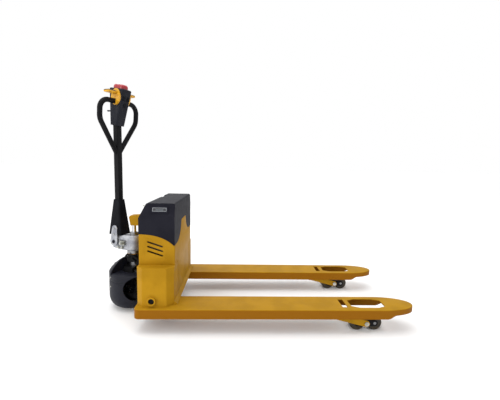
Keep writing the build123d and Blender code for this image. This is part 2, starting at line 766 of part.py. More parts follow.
for name, hand in hands:
    along = Plane(origin=(load_face_x, hand * fork_y, 0), x_dir=(1, 0, 0), z_dir=(0, -1, 0))
    with BuildPart() as roller_arm:
        with BuildSketch(along):
            with Locations((arm_x, arm_z)):
                Circle(sleeve_radius)
        extrude(amount=arm_in + arm_plate, both=True)
        for cheek in (-1, 1):
            with BuildSketch(along.offset(cheek * (arm_in + arm_plate / 2))):
                with BuildLine():
                    Line((arm_x, arm_z), (bogie_x, bogie_z))
                trace(line_width=2 * arm_end)
                with Locations((arm_x, arm_z)):
                    Circle(arm_root)
                with Locations((bogie_x, bogie_z)):
                    Circle(arm_end)
            extrude(amount=arm_plate / 2, both=True)
            with BuildSketch(along.offset(cheek * (eye_half + side_gap + lever_plate / 2))):
                with BuildLine():
                    Line((arm_x, arm_z), (lever_pin_x, lever_pin_z))
                trace(line_width=2 * lever_pin_radius + 5)
                with Locations((lever_pin_x, lever_pin_z)):
                    Circle(lever_pin_radius + 2.5)
            extrude(amount=lever_plate / 2, both=True)
        with BuildSketch(along):
            with Locations((lever_pin_x, lever_pin_z)):
                Circle(lever_pin_radius)
        extrude(amount=eye_half + side_gap + lever_plate, both=True)
        with BuildSketch(along):
            with Locations((arm_x, arm_z)):
                Circle(arm_pin_radius + running_gap)
        extrude(amount=arm_in + arm_plate + 1, both=True, mode=Mode.SUBTRACT)
        with BuildSketch(along):
            with Locations((bogie_x, bogie_z)):
                Circle(bogie_bolt_radius)
        extrude(amount=arm_in + arm_plate + 1, both=True, mode=Mode.SUBTRACT)
    roller_arm.part.label = f"{name}_roller_arm"
    export_step(roller_arm.part, f"parts/{name}_roller_arm.step")

    with BuildPart() as bogie_bolts:
        for cheek in (-1, 1):
            with BuildSketch(along.offset(cheek * (bogie_in - 0.6))):
                with Locations((bogie_x, bogie_z)):
                    Circle(bogie_bolt_radius)
            extrude(amount=cheek * (arm_in + arm_plate - bogie_in + 0.6))
            with BuildSketch(along.offset(cheek * (arm_in + arm_plate))):
                with Locations((bogie_x, bogie_z)):
                    RegularPolygon(bogie_head_radius, 6)
            extrude(amount=cheek * bogie_head)
    bogie_bolts.part.label = f"{name}_bogie_bolts"
    export_step(bogie_bolts.part, f"parts/{name}_bogie_bolts.step")

    with BuildPart() as bogie:
        for cheek in (-1, 1):
            with BuildSketch(along.offset(cheek * (bogie_in + bogie_plate / 2))):
                with Locations((bogie_x, bogie_z)):
                    SlotCenterToCenter(tandem_pitch, bogie_height)
                    Circle(bogie_bolt_radius + running_gap, mode=Mode.SUBTRACT)
                for end in (-1, 1):
                    with Locations((bogie_x + end * tandem_pitch / 2, bogie_z)):
                        Circle(axle_radius, mode=Mode.SUBTRACT)
            extrude(amount=bogie_plate / 2, both=True)
    bogie.part.label = f"{name}_bogie"
    export_step(bogie.part, f"parts/{name}_bogie.step")

    with BuildPart() as roller_axles:
        for end in (-1, 1):
            with BuildSketch(along):
                with Locations((bogie_x + end * tandem_pitch / 2, bogie_z)):
                    Circle(axle_radius)
            extrude(amount=bogie_in + bogie_plate + axle_stub, both=True)
    roller_axles.part.label = f"{name}_roller_axles"
    export_step(roller_axles.part, f"parts/{name}_roller_axles.step")

    for place, end in (("rear", -1), ("front", 1)):
        with BuildPart() as roller:
            with BuildSketch(along):
                with Locations((bogie_x + end * tandem_pitch / 2, bogie_z)):
                    Circle(roller_radius)
                    Circle(roller_bore, mode=Mode.SUBTRACT)
            extrude(amount=roller_width / 2, both=True)
            chamfer(edges().filter_by(GeomType.CIRCLE).sort_by(SortBy.RADIUS)[-2:], 2)
            # Recessed ends around the hub.
            for cheek in (-1, 1):
                with BuildSketch(along.offset(cheek * roller_width / 2)):
                    with Locations((bogie_x + end * tandem_pitch / 2, bogie_z)):
                        Circle(roller_radius - 9)
                        Circle(axle_radius + 6, mode=Mode.SUBTRACT)
                extrude(amount=-cheek * 2, mode=Mode.SUBTRACT)
        roller.part.label = f"{name}_{place}_roller"
        export_step(roller.part, f"parts/{name}_{place}_roller.step")

# ---------------------------------------------------------------- drive wheel and its fork
wheel_z = drive_wheel_radius
tyre_depth = 22.0
wheel_axle_radius = 12.0
cheek_in = drive_wheel_width / 2 + 4.0
cheek_thick = 12.0
cheek_half = 30.0
yoke_bottom = 2 * drive_wheel_radius + 2.0
yoke_top = yoke_bottom + 10.0
shroud_radius = 132.0
shroud_wall = 4.0
seat_gap = 0.3

with BuildPart() as drive_tyre:
    with BuildSketch(steer_side):
        with Locations((0, wheel_z)):
            Circle(drive_wheel_radius)
            Circle(drive_wheel_radius - tyre_depth, mode=Mode.SUBTRACT)
    extrude(amount=drive_wheel_width / 2, both=True)
    fillet(edges().filter_by(GeomType.CIRCLE).sort_by(SortBy.RADIUS)[-2:], 7)
drive_tyre.part.label = "drive_tyre"
export_step(drive_tyre.part, "parts/drive_tyre.step")

hub_flange = 46.0
with BuildPart() as drive_hub:
    with BuildSketch(steer_side):
        with Locations((0, wheel_z)):
            Circle(drive_wheel_radius - tyre_depth)
            Circle(wheel_axle_radius + running_gap, mode=Mode.SUBTRACT)
    extrude(amount=drive_wheel_width / 2 - 2, both=True)
    for cheek in (-1, 1):
        with BuildSketch(steer_side.offset(cheek * (drive_wheel_width / 2 - 2))):
            with Locations((0, wheel_z)):
                Circle(drive_wheel_radius - tyre_depth - 7)
                Circle(hub_flange, mode=Mode.SUBTRACT)
        extrude(amount=-cheek * 14, mode=Mode.SUBTRACT)
        with BuildSketch(steer_side.offset(cheek * (drive_wheel_width / 2 - 2))):
            with Locations((0, wheel_z)):
                with PolarLocations(33, 5):
                    RegularPolygon(6, 6)
        extrude(amount=cheek * 4)
drive_hub.part.label = "drive_hub"
export_step(drive_hub.part, "parts/drive_hub.step")

with BuildPart() as wheel_yoke:
    with BuildSketch(steer_top.offset(yoke_bottom)):
        Rectangle(2 * cheek_half, 2 * (cheek_in + cheek_thick))
        with BuildLine():
            edge_y = cheek_half - 4
            edge_x = sqrt((shroud_radius - shroud_wall - seat_gap) ** 2 - edge_y**2)
            rim = ThreePointArc(
                (-edge_x, edge_y),
                (-(shroud_radius - shroud_wall - seat_gap), 0),
                (-edge_x, -edge_y),
            )
            Polyline(rim @ 1, (0, -edge_y), (0, edge_y), rim @ 0)
        make_face()
    extrude(amount=yoke_top - yoke_bottom)
    for cheek in (-1, 1):
        with BuildSketch(steer_side.offset(cheek * cheek_in)):
            with Locations((0, wheel_z)):
                Circle(cheek_half)
            with Locations((0, (wheel_z + yoke_bottom + 1) / 2)):
                Rectangle(2 * cheek_half, yoke_bottom + 1 - wheel_z)
            with Locations((0, wheel_z)):
                Circle(wheel_axle_radius, mode=Mode.SUBTRACT)
        extrude(amount=cheek * cheek_thick)
wheel_yoke.part.label = "wheel_yoke"
export_step(wheel_yoke.part, "parts/wheel_yoke.step")

with BuildPart() as wheel_axle:
    with BuildSketch(steer_side):
        with Locations((0, wheel_z)):
            Circle(wheel_axle_radius)
    extrude(amount=cheek_in + cheek_thick, both=True)
    with BuildSketch(steer_side.offset(cheek_in + cheek_thick)):
        with Locations((0, wheel_z)):
            RegularPolygon(19, 6)
    extrude(amount=9)
wheel_axle.part.label = "wheel_axle"
export_step(wheel_axle.part, "parts/wheel_axle.step")

motor_radius = 42.0
motor_reach = 48.0
with BuildPart() as drive_motor:
    with BuildSketch(steer_side.offset(-(cheek_in + cheek_thick))):
        with Locations((0, wheel_z)):
            Circle(motor_radius)
            Circle(wheel_axle_radius + 1, mode=Mode.SUBTRACT)
    extrude(amount=-motor_reach)
    fillet(edges().filter_by(GeomType.CIRCLE).sort_by(Axis.Y)[-1], 1)
drive_motor.part.label = "drive_motor"
export_step(drive_motor.part, "parts/drive_motor.step")

# ---------------------------------------------------------------- shroud
# A moulded guard round the driver's side of the wheel. Its high front is narrower than its skirts,
# which leave the bell crank's arms free when the wheel is steered.
shroud_low = 16.0
shroud_skirt_top = 200.0
shroud_shoulder = 226.0
shroud_rim_z = 266.0
shroud_rim_radius = 86.0
shroud_sweep = 210.0
shroud_front_x = -50.0
arch_radius = 78.0
arch_z = 40.0
arch_x = 20.0
shroud_start = radians(steer_rest + 180 - shroud_sweep / 2)
shroud_plane = Plane(
    origin=steer_origin,
    x_dir=(cos(shroud_start), sin(shroud_start), 0),
    z_dir=(sin(shroud_start), -cos(shroud_start), 0),
)
with BuildPart() as shroud:
    with BuildSketch(shroud_plane):
        with BuildLine():
            mid = shroud_radius - shroud_wall / 2
            foot = Spline(
                (shroud_radius - 38, shroud_low + shroud_wall / 2),
                (shroud_radius - 12, shroud_low + 32),
                (mid, shroud_low + 84),
                tangents=((1, 0.25), (0, 1)),
            )
            wall = Line(foot @ 1, (mid, shroud_shoulder))
            Spline(
                wall @ 1,
                (shroud_radius - 12, shroud_rim_z - 16),
                (shroud_rim_radius, shroud_rim_z - shroud_wall / 2),
                tangents=((0, 1), (-1, 0.25)),
            )
        trace(line_width=shroud_wall)
    revolve(axis=Axis(steer_origin, (0, 0, 1)), revolution_arc=shroud_sweep)
    with BuildSketch(steer_side):
        with Locations((shroud_front_x + shroud_radius, shroud_skirt_top + shroud_radius)):
            Rectangle(2 * shroud_radius, 2 * shroud_radius)
        with Locations((arch_x, arch_z)):
            Circle(arch_radius)
    extrude(amount=shroud_radius + 1, both=True, mode=Mode.SUBTRACT)
shroud.part.label = "shroud"
export_step(shroud.part, "parts/shroud.step")

# Screws through the shroud, spaced round its front.
shroud_screw_radius = 4.0
shroud_screw_turns = (-66.0, -24.0, 24.0, 66.0)
shroud_screw_z = (128.0, 178.0)
with BuildPart() as shroud_screws:
    for angle in shroud_screw_turns:
        out = radians(steer_rest + 180 + angle)
        for z in shroud_screw_z:
            screw_plane = Plane(
                origin=(
                    steer_origin[0] + (shroud_radius - 0.2) * cos(out),
                    (shroud_radius - 0.2) * sin(out),
                    z,
                ),
                x_dir=(0, 0, 1),
                z_dir=(cos(out), sin(out), 0),
            )
            with BuildSketch(screw_plane):
                Circle(shroud_screw_radius)
            extrude(amount=2.6)
    with BuildSketch(shroud_plane):
        with Locations((shroud_radius - 7, (shroud_low + shroud_shoulder) / 2)):
            Rectangle(14, shroud_shoulder)
        with Locations((shroud_radius / 2, (shroud_low + shroud_shoulder) / 2)):
            Rectangle(shroud_radius, shroud_shoulder)
    revolve(axis=Axis(steer_origin, (0, 0, 1)), mode=Mode.SUBTRACT)
shroud_screws.part.label = "shroud_screws"
export_step(shroud_screws.part, "parts/shroud_screws.step")

# ---------------------------------------------------------------- column, ram and pump casting
# The ram's cylinder is also the steering column: its lower part turns in the collar, its flange rests
# on the thrust washer, and the pump casting is clamped round its upper part.
flange_bottom = collar_top + washer_thick
casting_bottom = 308.0
casting_top = 390.0
cylinder_radius = 25.0
cylinder_top = 396.0
gland_height = 12.0
bore_bottom = 240.0
casting_half = 32.0
hinge_x = -tiller_offset
hinge_lug = 34.0
hinge_pin_radius = 7.0
hinge_slot_half = 16.5
pocket_depth = 5.0
foot_radius = 16.0

with BuildPart() as lift_cylinder:
    with BuildSketch(steer_top.offset(yoke_top)):
        Circle(column_radius)
    extrude(amount=flange_bottom - yoke_top)
    with BuildSketch(steer_top.offset(flange_bottom)):
        Circle(collar_radius - 2)
    extrude(amount=casting_bottom - flange_bottom)
    with BuildSketch(steer_top.offset(casting_bottom)):
        Circle(cylinder_radius)
    extrude(amount=cylinder_top - casting_bottom)
    with BuildSketch(steer_top.offset(bore_bottom)):
        Circle(rod_radius + running_gap)
    extrude(amount=cylinder_top - bore_bottom + 1, mode=Mode.SUBTRACT)
lift_cylinder.part.label = "lift_cylinder"
export_step(lift_cylinder.part, "parts/lift_cylinder.step")

with BuildPart() as cylinder_gland:
    with BuildSketch(steer_top.offset(cylinder_top)):
        Circle(cylinder_radius - 3)
        Circle(rod_radius + running_gap, mode=Mode.SUBTRACT)
    extrude(amount=gland_height)
    chamfer(edges().group_by(Axis.Z)[-1].sort_by(SortBy.RADIUS)[-1], 2)
cylinder_gland.part.label = "cylinder_gland"
export_step(cylinder_gland.part, "parts/cylinder_gland.step")

with BuildPart() as pump_casting:
    with BuildSketch(steer_side):
        with BuildLine():
            Polyline(
                (0, casting_bottom),
                (0, casting_top),
                (-38, casting_top),
                (hinge_x + 30, casting_top - 8),
                (hinge_x, tiller_hinge_z + hinge_lug - 2),
                (hinge_x - hinge_lug + 2, tiller_hinge_z),
                (hinge_x - 16, casting_bottom + 6),
                (hinge_x + 20, casting_bottom),
                close=True,
            )
        make_face()
        with Locations((hinge_x, tiller_hinge_z)):
            Circle(hinge_lug)
    extrude(amount=casting_half, both=True)
    with BuildSketch(steer_top.offset(casting_bottom)):
        Circle(casting_half)
    extrude(amount=casting_top - casting_bottom)
    fillet(edges().filter_by(Plane.XY).group_by(Axis.Z)[-1], 2)
    with BuildSketch(steer_top.offset(casting_bottom)):
        Circle(cylinder_radius)
    extrude(amount=casting_top - casting_bottom + 1, mode=Mode.SUBTRACT)
    # The slot for the tiller's foot, open to the driver.
    with BuildSketch(steer_side):
        with Locations((hinge_x + foot_radius + 3 - 50, tiller_hinge_z - foot_radius - 3 + 50)):
            Rectangle(100, 100)
    extrude(amount=hinge_slot_half, both=True, mode=Mode.SUBTRACT)
    with BuildSketch(steer_side):
        with Locations((hinge_x, tiller_hinge_z)):
            Circle(hinge_pin_radius)
    extrude(amount=casting_half + 1, both=True, mode=Mode.SUBTRACT)
    # A pocket on the right cheek for the lowering valve.
    with BuildSketch(steer_side.offset(casting_half - pocket_depth)):
        with Locations((hinge_x + 54, tiller_hinge_z - 4)):
            RectangleRounded(44, 36, 6)
    extrude(amount=pocket_depth + 1, mode=Mode.SUBTRACT)
pump_casting.part.label = "pump_casting"
export_step(pump_casting.part, "parts/pump_casting.step")

with BuildPart() as tiller_hinge_pin:
    with BuildSketch(steer_side):
        with Locations((hinge_x, tiller_hinge_z)):
            Circle(hinge_pin_radius)
    extrude(amount=casting_half + 3, both=True)
    for cheek in (-1, 1):
        with BuildSketch(steer_side.offset(cheek * casting_half)):
            with Locations((hinge_x, tiller_hinge_z)):
                RegularPolygon(hinge_pin_radius + 5, 6)
        extrude(amount=cheek * 4)
tiller_hinge_pin.part.label = "tiller_hinge_pin"
export_step(tiller_hinge_pin.part, "parts/tiller_hinge_pin.step")

# The pump's motor stands on the casting's left cheek, the lowering valve on its right.
pump_motor_x = hinge_x + 34.0
pump_motor_z = 330.0
pump_motor_radius = 30.0
pump_motor_reach = 56.0
with BuildPart() as pump_motor:
    with BuildSketch(steer_side.offset(-casting_half - 5)):
        with Locations((pump_motor_x, pump_motor_z)):
            Circle(pump_motor_radius)
    extrude(amount=-pump_motor_reach + 5)
    fillet(faces().sort_by(Axis.Y)[-1].edges(), 4)
    with BuildSketch(steer_side.offset(-casting_half)):
        with Locations((pump_motor_x, pump_motor_z)):
            Circle(pump_motor_radius - 9)
    extrude(amount=-6)
pump_motor.part.label = "pump_motor"
export_step(pump_motor.part, "parts/pump_motor.step")

valve_x = hinge_x + 54.0
valve_z = tiller_hinge_z - 4.0
valve_block = (30.0, 24.0, 13.0)
valve_stem = (9.0, 12.0)
plug_places = ((hinge_x + 24, casting_bottom + 12), (hinge_x + 50, casting_bottom + 12))
with BuildPart() as hydraulic_fittings:
    with BuildSketch(steer_side.offset(casting_half - pocket_depth)):
        with Locations((valve_x, valve_z)):
            RectangleRounded(valve_block[0], valve_block[1], 3)
    extrude(amount=valve_block[2])
    stem_foot = casting_half - pocket_depth + valve_block[2]
    with BuildSketch(steer_side.offset(stem_foot)):
        with Locations((valve_x, valve_z)):
            Circle(valve_stem[0])
    extrude(amount=valve_stem[1])
    with BuildSketch(steer_side.offset(stem_foot + valve_stem[1])):
        with Locations((valve_x, valve_z)):
            RegularPolygon(6, 6)
    extrude(amount=4)
    with BuildSketch(steer_side.offset(casting_half)):
        with Locations(*plug_places):
            RegularPolygon(8, 6)
    extrude(amount=6)
    with BuildSketch(steer_side.offset(casting_half + 6)):
        with Locations(*plug_places):
            Circle(5)
    extrude(amount=5)
hydraulic_fittings.part.label = "hydraulic_fittings"
export_step(hydraulic_fittings.part, "parts/hydraulic_fittings.step")

# ---------------------------------------------------------------- tiller
# A square tube on a hinge pin, a rubber boot round its foot, two bent handle loops and a control head.
shaft_size = 32.0
shaft_wall = 3.0
shaft_top = 1000.0
loop_join_z = 846.0
loop_half = 126.0
loop_lean = 4.0  # degrees that the loops lean towards the load
loop_elbow_z = 1005.0
loop_top_z = 1104.0
loop_seat = 33.0
loop_radius = 13.0
head_bottom = 980.0
head_top = 1172.0
head_bottom_size = (50.0, 54.0)
head_top_size = (98.0, 70.0)
head_lean = 9.0  # degrees that the head leans towards the load
head_seam = 0.3

tiller_top = Plane(
    origin=(steer_origin[0] + hinge_x * cos(turn), hinge_x * sin(turn), 0),
    x_dir=(cos(turn), sin(turn), 0),
    z_dir=(0, 0, 1),
)
tiller_end = Plane(origin=tiller_top.origin, x_dir=(-sin(turn), cos(turn), 0), z_dir=(cos(turn), sin(turn), 0))
tiller_side = Plane(
    origin=tiller_top.origin, x_dir=(cos(turn), sin(turn), 0), z_dir=(sin(turn), -cos(turn), 0)
)


def leaned(degrees_over, pivot_z):
    """The tiller's top, end and side planes, leaned towards the load about a line at pivot_z."""
    lean = radians(degrees_over)
    ahead = (cos(turn) * cos(lean), sin(turn) * cos(lean), -sin(lean))
    upward = (cos(turn) * sin(lean), sin(turn) * sin(lean), cos(lean))
    foot = (
        tiller_top.origin.X - pivot_z * upward[0],
        tiller_top.origin.Y - pivot_z * upward[1],
        pivot_z - pivot_z * upward[2],
    )
    return (
        Plane(origin=foot, x_dir=ahead, z_dir=upward),
        Plane(origin=foot, x_dir=(-sin(turn), cos(turn), 0), z_dir=ahead),
        Plane(origin=foot, x_dir=ahead, z_dir=(sin(turn), -cos(turn), 0)),
    )


_, loop_end, _ = leaned(loop_lean, loop_join_z)
head_above, head_end, head_side = leaned(head_lean, head_bottom)

with BuildPart() as tiller_shaft:
    with BuildSketch(tiller_side):
        with Locations((0, tiller_hinge_z)):
            Circle(foot_radius)
        with Locations((0, (tiller_hinge_z + shaft_top) / 2)):
            Rectangle(shaft_size, shaft_top - tiller_hinge_z)
    extrude(amount=shaft_size / 2, both=True)
    fillet(edges().filter_by(Axis.Z), 4)
    with BuildSketch(tiller_top.offset(tiller_hinge_z + 30)):
        RectangleRounded(shaft_size - 2 * shaft_wall, shaft_size - 2 * shaft_wall, 1.5)
    extrude(amount=shaft_top - tiller_hinge_z, mode=Mode.SUBTRACT)
    with BuildSketch(tiller_side):
        with Locations((0, tiller_hinge_z)):
            Circle(hinge_pin_radius + running_gap)
    extrude(amount=shaft_size, both=True, mode=Mode.SUBTRACT)
tiller_shaft.part.label = "tiller_shaft"
export_step(tiller_shaft.part, "parts/tiller_shaft.step")

boot_bottom = tiller_hinge_z + 38.0
boot_top = 580.0
boot_wall = 3.0
boot_foot_size = (92.0, 82.0)
boot_neck_size = (44.0, 44.0)
with BuildPart() as tiller_boot:
    with BuildSketch(tiller_top.offset(boot_bottom)):
        RectangleRounded(boot_foot_size[0], boot_foot_size[1], 16)
    with BuildSketch(tiller_top.offset(boot_top)):
        RectangleRounded(boot_neck_size[0], boot_neck_size[1], 9)
    loft()
    with BuildSketch(tiller_top.offset(boot_bottom)):
        RectangleRounded(boot_foot_size[0] - 2 * boot_wall, boot_foot_size[1] - 2 * boot_wall, 13)
    with BuildSketch(tiller_top.offset(boot_top - 12)):
        RectangleRounded(boot_neck_size[0] - 2 * boot_wall, boot_neck_size[1] - 2 * boot_wall, 6)
    loft(mode=Mode.SUBTRACT)
    with BuildSketch(tiller_top.offset(boot_top + 1)):
        Rectangle(shaft_size + 2 * head_seam, shaft_size + 2 * head_seam)
    extrude(amount=-14, mode=Mode.SUBTRACT)
tiller_boot.part.label = "tiller_boot"
export_step(tiller_boot.part, "parts/tiller_boot.step")

for name, hand in hands:
    with BuildPart() as handle_loop:
        with BuildLine(loop_end) as route:
            FilletPolyline(
                (0, loop_join_z - 26),
                (hand * loop_half, loop_elbow_z),
                (hand * loop_half, loop_top_z),
                (0, loop_top_z),
                radius=(70, 50),
            )
        with BuildSketch(Plane(origin=route.line @ 0, z_dir=route.line % 0)):
            Circle(loop_radius)
        sweep()
        # Coped to the shaft's cheek below and to the head's side above.
        with BuildSketch(loop_end):
            with Locations((0, (tiller_hinge_z + shaft_top) / 2)):
                Rectangle(shaft_size, shaft_top - tiller_hinge_z)
            with Locations((0, loop_top_z)):
                Rectangle(2 * loop_seat + 2 * head_seam, 60)
        extrude(amount=head_top_size[0], both=True, mode=Mode.SUBTRACT)
    handle_loop.part.label = f"{name}_loop"
    export_step(handle_loop.part, f"parts/{name}_loop.step")

# ---------------------------------------------------------------- control head
# The head is a moulded shell on the top of the shaft. It carries a side plate and a throttle wing on
# each side, the belly button on top, and small buttons on the face that looks up when it is lowered.
wing_z = 1148.0
wing_axle_radius = 7.0
wing_in = 42.0
wing_out = 92.0
wing_chord = 26.0
wing_thick = 14.0
side_plate_x = 8.0
side_plate_z = 1128.0
side_plate_half = (30.0, 42.0)
side_plate_seat = 29.0
side_plate_out = 39.0
belly_size = (72.0, 50.0)
belly_corner = 18.0
belly_bottom = head_top - 6.5
belly_top = 1195.0
belly_travel = 5.0
button_seat = 6.0
button_proud = 2.5
button_travel = 2.5
horn_z = 1090.0
horn_radius = 10.0
rocker_z = 1124.0
rocker_y = 16.0
rocker_size = (16.0, 22.0)
lever_x = -22.0
lever_z = 1058.0
lever_hub = 4.5
lever_axle = 2.0
lever_half = 4.5
lever_tip = (-74.0, 1050.0)
face_lean = (head_top_size[0] - head_bottom_size[0]) / 2 / (head_top - head_bottom)
loop_rise = loop_top_z - loop_join_z
loop_ahead = loop_rise * sin(radians(loop_lean))
loop_above = loop_join_z + loop_rise * cos(radians(loop_lean)) - head_bottom
loop_end_x = loop_ahead * cos(radians(head_lean)) - loop_above * sin(radians(head_lean))
loop_end_z = head_bottom + loop_ahead * sin(radians(head_lean)) + loop_above * cos(radians(head_lean))
horn_face = head_bottom_size[0] / 2 + face_lean * (horn_z - head_bottom)
rocker_face = head_bottom_size[0] / 2 + face_lean * (rocker_z - head_bottom)

with BuildPart() as control_head:
    with BuildSketch(head_above.offset(head_bottom)):
        RectangleRounded(head_bottom_size[0], head_bottom_size[1], 8)
    with BuildSketch(head_above.offset(head_top)):
        RectangleRounded(head_top_size[0], head_top_size[1], 12)
    loft()
    fillet(faces().sort_by(Axis.Z)[-1].edges(), 8)
    with BuildSketch(tiller_top.offset(head_bottom - 9)):
        Rectangle(shaft_size + 2 * head_seam, shaft_size + 2 * head_seam)
    extrude(amount=shaft_top - head_bottom + 9 + head_seam, mode=Mode.SUBTRACT)
    with BuildSketch(head_side):
        with Locations((0, wing_z)):
            Circle(wing_axle_radius + running_gap)
    extrude(amount=head_top_size[1], both=True, mode=Mode.SUBTRACT)
    for cheek in (-1, 1):
        with BuildSketch(head_side.offset(cheek * side_plate_seat)):
            with Locations((side_plate_x, side_plate_z)):
                Ellipse(side_plate_half[0], side_plate_half[1])
        extrude(amount=cheek * 20, mode=Mode.SUBTRACT)
    with BuildSketch(head_above.offset(belly_bottom - belly_travel - 1)):
        RectangleRounded(belly_size[0] + 1, belly_size[1] + 1, belly_corner + 0.5)
    extrude(amount=40, mode=Mode.SUBTRACT)
    with BuildSketch(head_end.offset(horn_face - button_seat - button_travel - 0.5)):
        with Locations((0, horn_z)):
            Circle(horn_radius + 0.3)
    extrude(amount=20, mode=Mode.SUBTRACT)
    with BuildSketch(head_end.offset(rocker_face - button_seat - button_travel - 0.5)):
        with Locations((-rocker_y, rocker_z), (rocker_y, rocker_z)):
            RectangleRounded(rocker_size[0] + 0.6, rocker_size[1] + 0.6, 3.3)
    extrude(amount=20, mode=Mode.SUBTRACT)
    with BuildSketch(head_side):
        with Locations((lever_x - 12, lever_z - 1)):
            Rectangle(36, 22)
    extrude(amount=lever_half + 0.4, both=True, mode=Mode.SUBTRACT)
    with BuildSketch(head_side):
        with Locations((lever_x, lever_z)):
            Circle(lever_axle + running_gap)
    extrude(amount=lever_half + 6, both=True, mode=Mode.SUBTRACT)
control_head.part.label = "control_head"
export_step(control_head.part, "parts/control_head.step")

with BuildPart() as side_plates:
    for cheek in (-1, 1):
        with BuildSketch(head_side.offset(cheek * side_plate_seat)):
            with Locations((side_plate_x, side_plate_z)):
                Ellipse(side_plate_half[0], side_plate_half[1])
            with Locations((0, wing_z)):
                Circle(wing_axle_radius + running_gap, mode=Mode.SUBTRACT)
        extrude(amount=cheek * (side_plate_out - side_plate_seat))
    # Each plate is notched for the end of the handle loop.
    with BuildSketch(head_end.offset(loop_end_x)):
        with Locations((0, loop_end_z)):
            Rectangle(2 * (side_plate_out + 1), 2 * loop_radius + 1)
            Rectangle(2 * loop_seat, 2 * loop_radius + 2, mode=Mode.SUBTRACT)
    extrude(amount=loop_radius + 0.5, both=True, mode=Mode.SUBTRACT)
side_plates.part.label = "side_plates"
export_step(side_plates.part, "parts/side_plates.step")

with BuildPart() as throttle:
    with BuildSketch(head_side):
        with Locations((0, wing_z)):
            Circle(wing_axle_radius)
    extrude(amount=wing_in + 1, both=True)
    for cheek in (-1, 1):
        with BuildSketch(head_side.offset(cheek * wing_in)):
            with Locations((-2, wing_z)):
                SlotCenterToCenter(wing_chord, wing_thick, rotation=8)
        extrude(amount=cheek * (wing_out - wing_in))
        outer = faces().sort_by(Axis(head_side.origin, head_side.z_dir * cheek))[-1]
        fillet(outer.edges(), 4)
throttle.part.label = "throttle"
export_step(throttle.part, "parts/throttle.step")

with BuildPart() as belly_button:
    with BuildSketch(head_above.offset(belly_bottom)):
        RectangleRounded(belly_size[0], belly_size[1], belly_corner)
    extrude(amount=belly_top - belly_bottom)
    fillet(faces().sort_by(Axis.Z)[-1].edges(), 14)
belly_button.part.label = "belly_button"
export_step(belly_button.part, "parts/belly_button.step")

with BuildPart() as horn_button:
    with BuildSketch(head_end.offset(horn_face - button_seat)):
        with Locations((0, horn_z)):
            Circle(horn_radius)
    extrude(amount=button_seat + button_proud)
    outer = faces().sort_by(Axis(head_end.origin, head_end.z_dir))[-1]
    fillet(outer.edges(), 1.5)
horn_button.part.label = "horn_button"
export_step(horn_button.part, "parts/horn_button.step")

for name, place in (("raise_button", 1), ("lower_button", -1)):
    with BuildPart() as rocker:
        with BuildSketch(head_end.offset(rocker_face - button_seat)):
            with Locations((place * rocker_y, rocker_z)):
                RectangleRounded(rocker_size[0], rocker_size[1], 3)
        extrude(amount=button_seat + button_proud)
        outer = faces().sort_by(Axis(head_end.origin, head_end.z_dir))[-1]
        fillet(outer.edges(), 1.2)
    rocker.part.label = name
    export_step(rocker.part, f"parts/{name}.step")

# The hooked finger lever on the driver's side lowers the forks gently.
with BuildPart() as finger_lever:
    with BuildSketch(head_side):
        with BuildLine():
            Line((lever_x, lever_z), lever_tip)
        trace(line_width=6)
        with Locations((lever_x, lever_z)):
            Circle(lever_hub)
        with Locations(lever_tip):
            Circle(4)
    extrude(amount=lever_half, both=True)
    with BuildSketch(head_side):
        with Locations((lever_x, lever_z)):
            Circle(lever_axle)
    extrude(amount=lever_half + 5, both=True)
finger_lever.part.label = "finger_lever"
export_step(finger_lever.part, "parts/finger_lever.step")
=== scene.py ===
"""Electric pallet truck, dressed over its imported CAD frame. All lengths are in metres."""

import json
import math

import bmesh
import bpy
import numpy as np
from mathutils import Matrix, Vector


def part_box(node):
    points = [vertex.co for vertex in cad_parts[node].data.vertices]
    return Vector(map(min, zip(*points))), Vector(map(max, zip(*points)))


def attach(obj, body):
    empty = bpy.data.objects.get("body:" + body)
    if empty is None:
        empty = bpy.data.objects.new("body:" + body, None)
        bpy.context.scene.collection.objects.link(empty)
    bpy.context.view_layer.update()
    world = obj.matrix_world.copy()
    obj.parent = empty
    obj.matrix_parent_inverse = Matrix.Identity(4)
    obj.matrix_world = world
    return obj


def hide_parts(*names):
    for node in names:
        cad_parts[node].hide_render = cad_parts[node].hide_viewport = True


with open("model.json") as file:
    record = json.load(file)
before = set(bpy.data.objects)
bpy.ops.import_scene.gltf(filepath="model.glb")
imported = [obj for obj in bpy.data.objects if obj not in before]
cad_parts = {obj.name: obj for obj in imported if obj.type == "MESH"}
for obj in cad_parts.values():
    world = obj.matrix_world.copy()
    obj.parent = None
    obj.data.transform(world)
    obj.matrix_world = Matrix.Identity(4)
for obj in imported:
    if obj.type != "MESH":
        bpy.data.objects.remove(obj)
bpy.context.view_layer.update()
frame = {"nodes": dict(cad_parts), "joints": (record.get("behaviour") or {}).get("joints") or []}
nodes = frame["nodes"]
joints = {joint["name"]: joint for joint in frame["joints"]}

# ------------------------------------------------------------------ lens
# The lens stands to the right of the truck at chest height, between the drive unit and the load face,
# and looks a little down across the forks.
load_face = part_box("battery_box")[1][0]
lens_place = Vector((load_face + 0.2855, -1.7822, 0.7974))
lens_yaw, lens_pitch, lens_roll = 0.043, 0.114, -0.022
level = Vector((math.sin(lens_yaw), math.cos(lens_yaw), 0))
aside = Vector((math.cos(lens_yaw), -math.sin(lens_yaw), 0))
above = Vector((0, 0, 1))
ahead = level * math.cos(lens_pitch) - above * math.sin(lens_pitch)
raised = level * math.sin(lens_pitch) + above * math.cos(lens_pitch)
lens_right = aside * math.cos(lens_roll) - raised * math.sin(lens_roll)
lens_up = aside * math.sin(lens_roll) + raised * math.cos(lens_roll)
lens = bpy.data.cameras.new("lens")
lens.sensor_width = 36
lens.lens = 0.6533 * lens.sensor_width
camera = bpy.data.objects.new("lens", lens)
turned = Matrix((lens_right, lens_up, -ahead)).transposed().to_4x4()
camera.matrix_world = Matrix.Translation(lens_place) @ turned
bpy.context.scene.collection.objects.link(camera)
